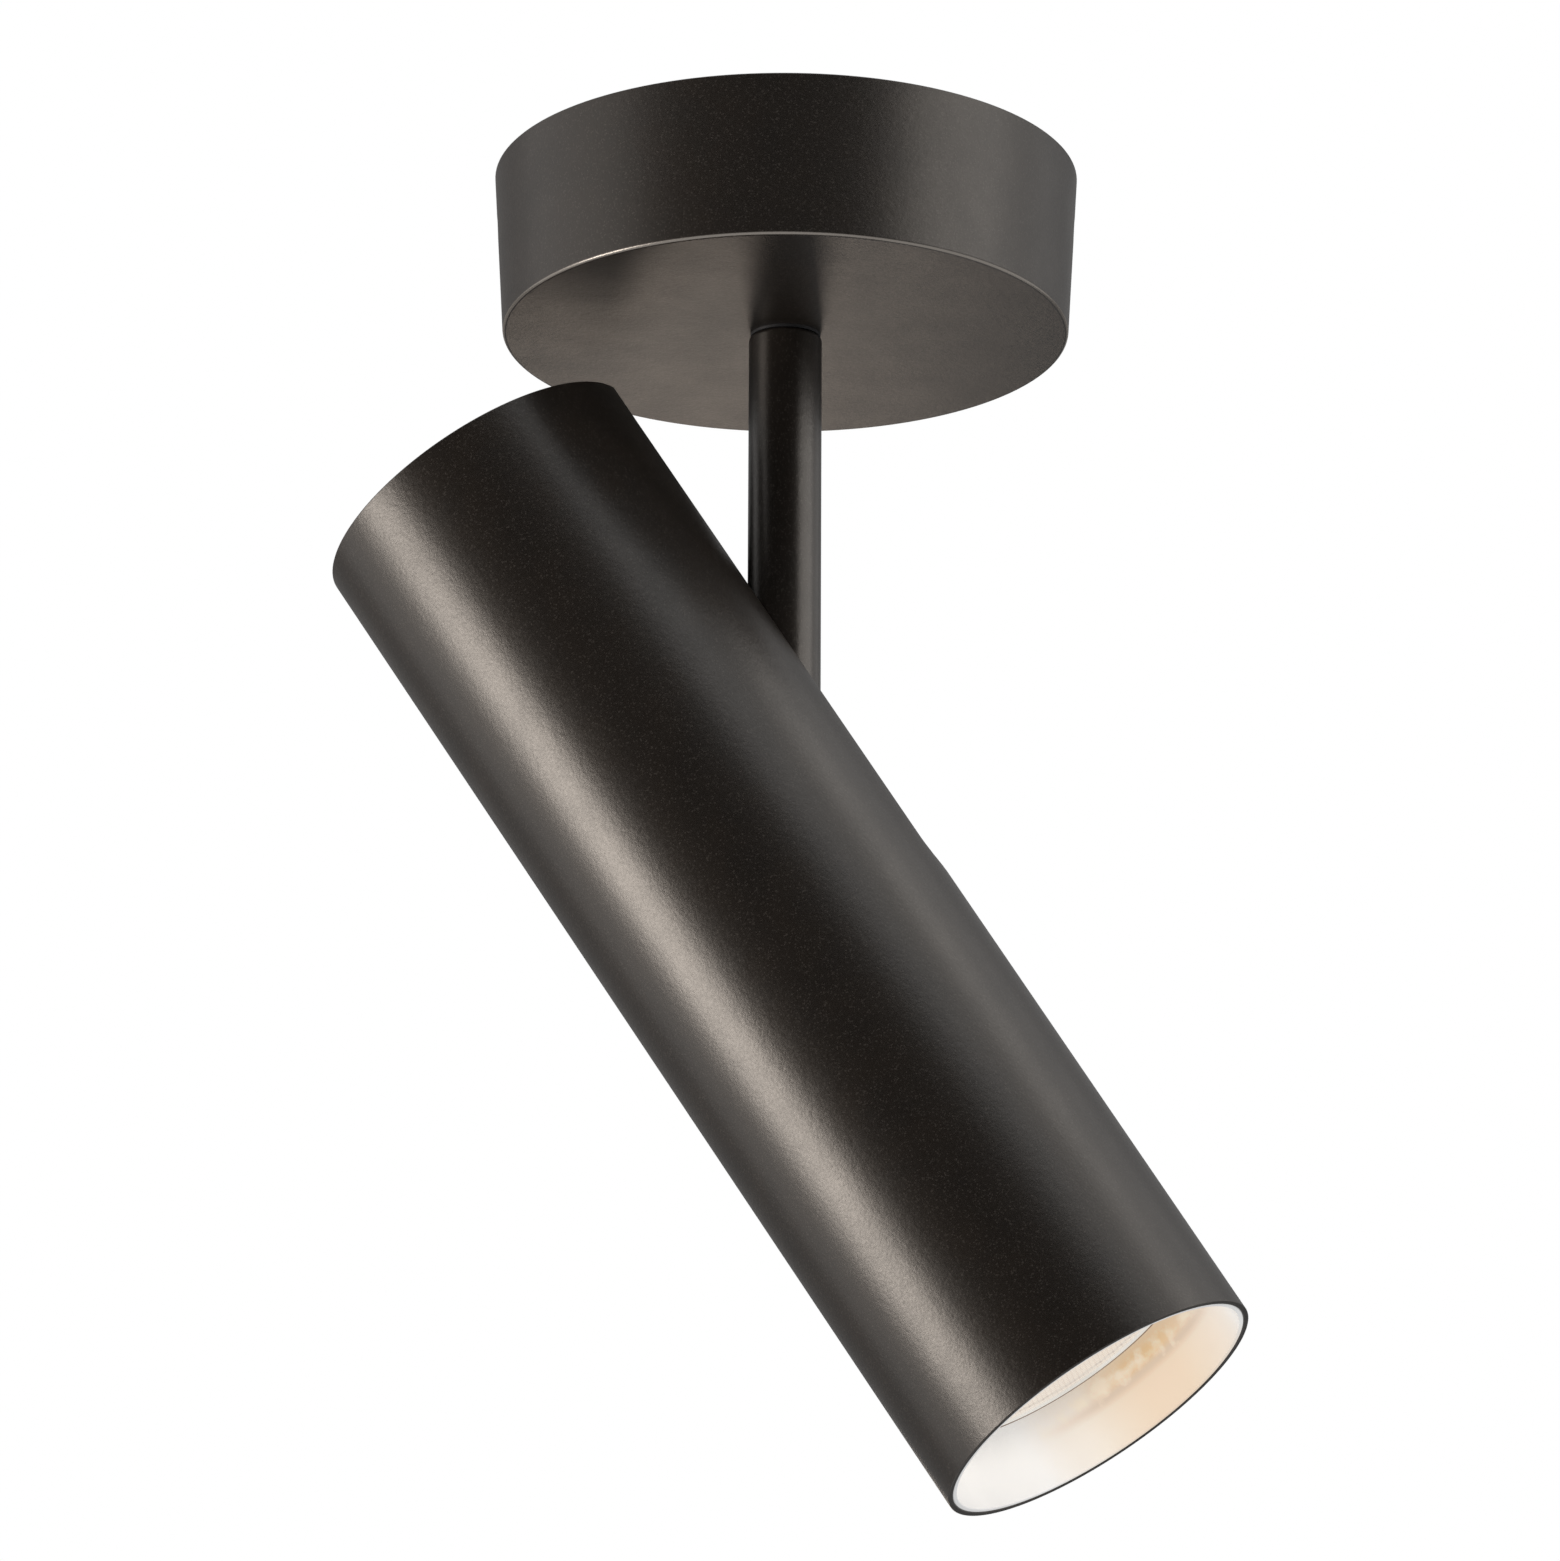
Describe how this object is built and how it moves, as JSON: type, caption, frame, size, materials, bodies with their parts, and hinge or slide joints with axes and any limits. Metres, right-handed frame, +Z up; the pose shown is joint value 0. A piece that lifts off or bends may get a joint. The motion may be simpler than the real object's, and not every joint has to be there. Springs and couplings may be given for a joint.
{
  "type": "surface mounted ceiling spotlight",
  "caption": "Ceiling spotlight: round cup on the ceiling, straight swivelling stem and a slotted tube that tilts on it and holds a recessed twist lock reflector lamp.",
  "frame": {"origin": "centre of the ceiling plane, where the strap and the cup meet the ceiling, on the stem axis", "axes": "+Z up, out of the ceiling side; the strap runs along X; at rest the tube's mouth leans to +X and is turned 8 degrees to -Y"},
  "size_m": [0.1574, 0.1018, 0.2402],
  "materials": {
    "satin_black": "satin black powder coat",
    "black_screw": "blackened steel",
    "zinc_steel": "zinc plated sheet steel",
    "bright_steel": "zinc plated turned steel",
    "cast_zinc": "die cast zinc",
    "brass": "turned brass",
    "black_nylon": "black nylon",
    "white_nylon": "white nylon",
    "white_liner": "matt white liner",
    "grey_rubber": "soft rubber",
    "lead_sheath": "silicone lead sheath",
    "steatite": "unglazed ceramic",
    "lamp_white": "white lamp body",
    "lamp_lens": "fine ribbed clear lens",
    "lamp_board": "white coated board",
    "lamp_emitter": "lit emitter",
    "pin_metal": "nickel plated pin"
  },
  "bodies": {
    "ceiling_mount": {"ceiling_bracket": "zinc_steel", "canopy_cup": "satin_black", "canopy_screws": "black_screw", "terminal_block": "white_nylon", "terminal_screws": "brass", "block_screw": "bright_steel", "earth_screw": "brass", "supply_leads": "lead_sheath", "swivel_bush": "black_nylon"},
    "stem_arm": {"thrust_washer": "black_nylon", "stop_washer": "bright_steel", "swivel_spring": "bright_steel", "swivel_nut": "brass", "swivel_nipple": "brass", "stem_tube": "satin_black", "stem_knuckle": "cast_zinc", "stem_leads": "lead_sheath"},
    "spot_head": {"lamp_tube": "satin_black", "top_cap": "satin_black", "inner_sleeve": "white_liner", "carrier_plate": "zinc_steel", "tube_screws": "black_screw", "knuckle_fork": "cast_zinc", "fork_screw": "bright_steel", "pivot_bolt": "bright_steel", "pivot_washers": "bright_steel", "pivot_nut": "bright_steel", "lead_grommet": "grey_rubber", "lamp_leads": "lead_sheath", "earth_tag": "brass", "head_earth_screw": "bright_steel", "holder_pillars": "bright_steel", "pillar_screws": "bright_steel", "holder_screws": "bright_steel", "lampholder_body": "steatite", "lampholder_face": "steatite", "holder_contacts": "brass"},
    "lamp": {"lamp_shell": "lamp_white", "lamp_lens": "lamp_lens", "lamp_board": "lamp_board", "lamp_emitters": "lamp_emitter", "lamp_cap": "lamp_white", "lamp_pins": "pin_metal"}
  },
  "joints": [
    {"name": "swivel", "type": "hinge", "parent": "ceiling_mount", "child": "stem_arm", "pos_m": [0, 0, -0.0289], "axis": [0, 0, 1], "range_deg": [-160, 176]},
    {"name": "tilt", "type": "hinge", "parent": "stem_arm", "child": "spot_head", "pos_m": [0, 0, -0.1394], "axis": [-0.1392, -0.9903, 0], "range_deg": [-32.55, 57.45]},
    {"name": "lamp_twist", "type": "hinge", "parent": "spot_head", "child": "lamp", "pos_m": [0.02134, -0.003, -0.17316], "axis": [0.5328, -0.0749, -0.8429], "range_deg": [0, 20]}
  ]
}
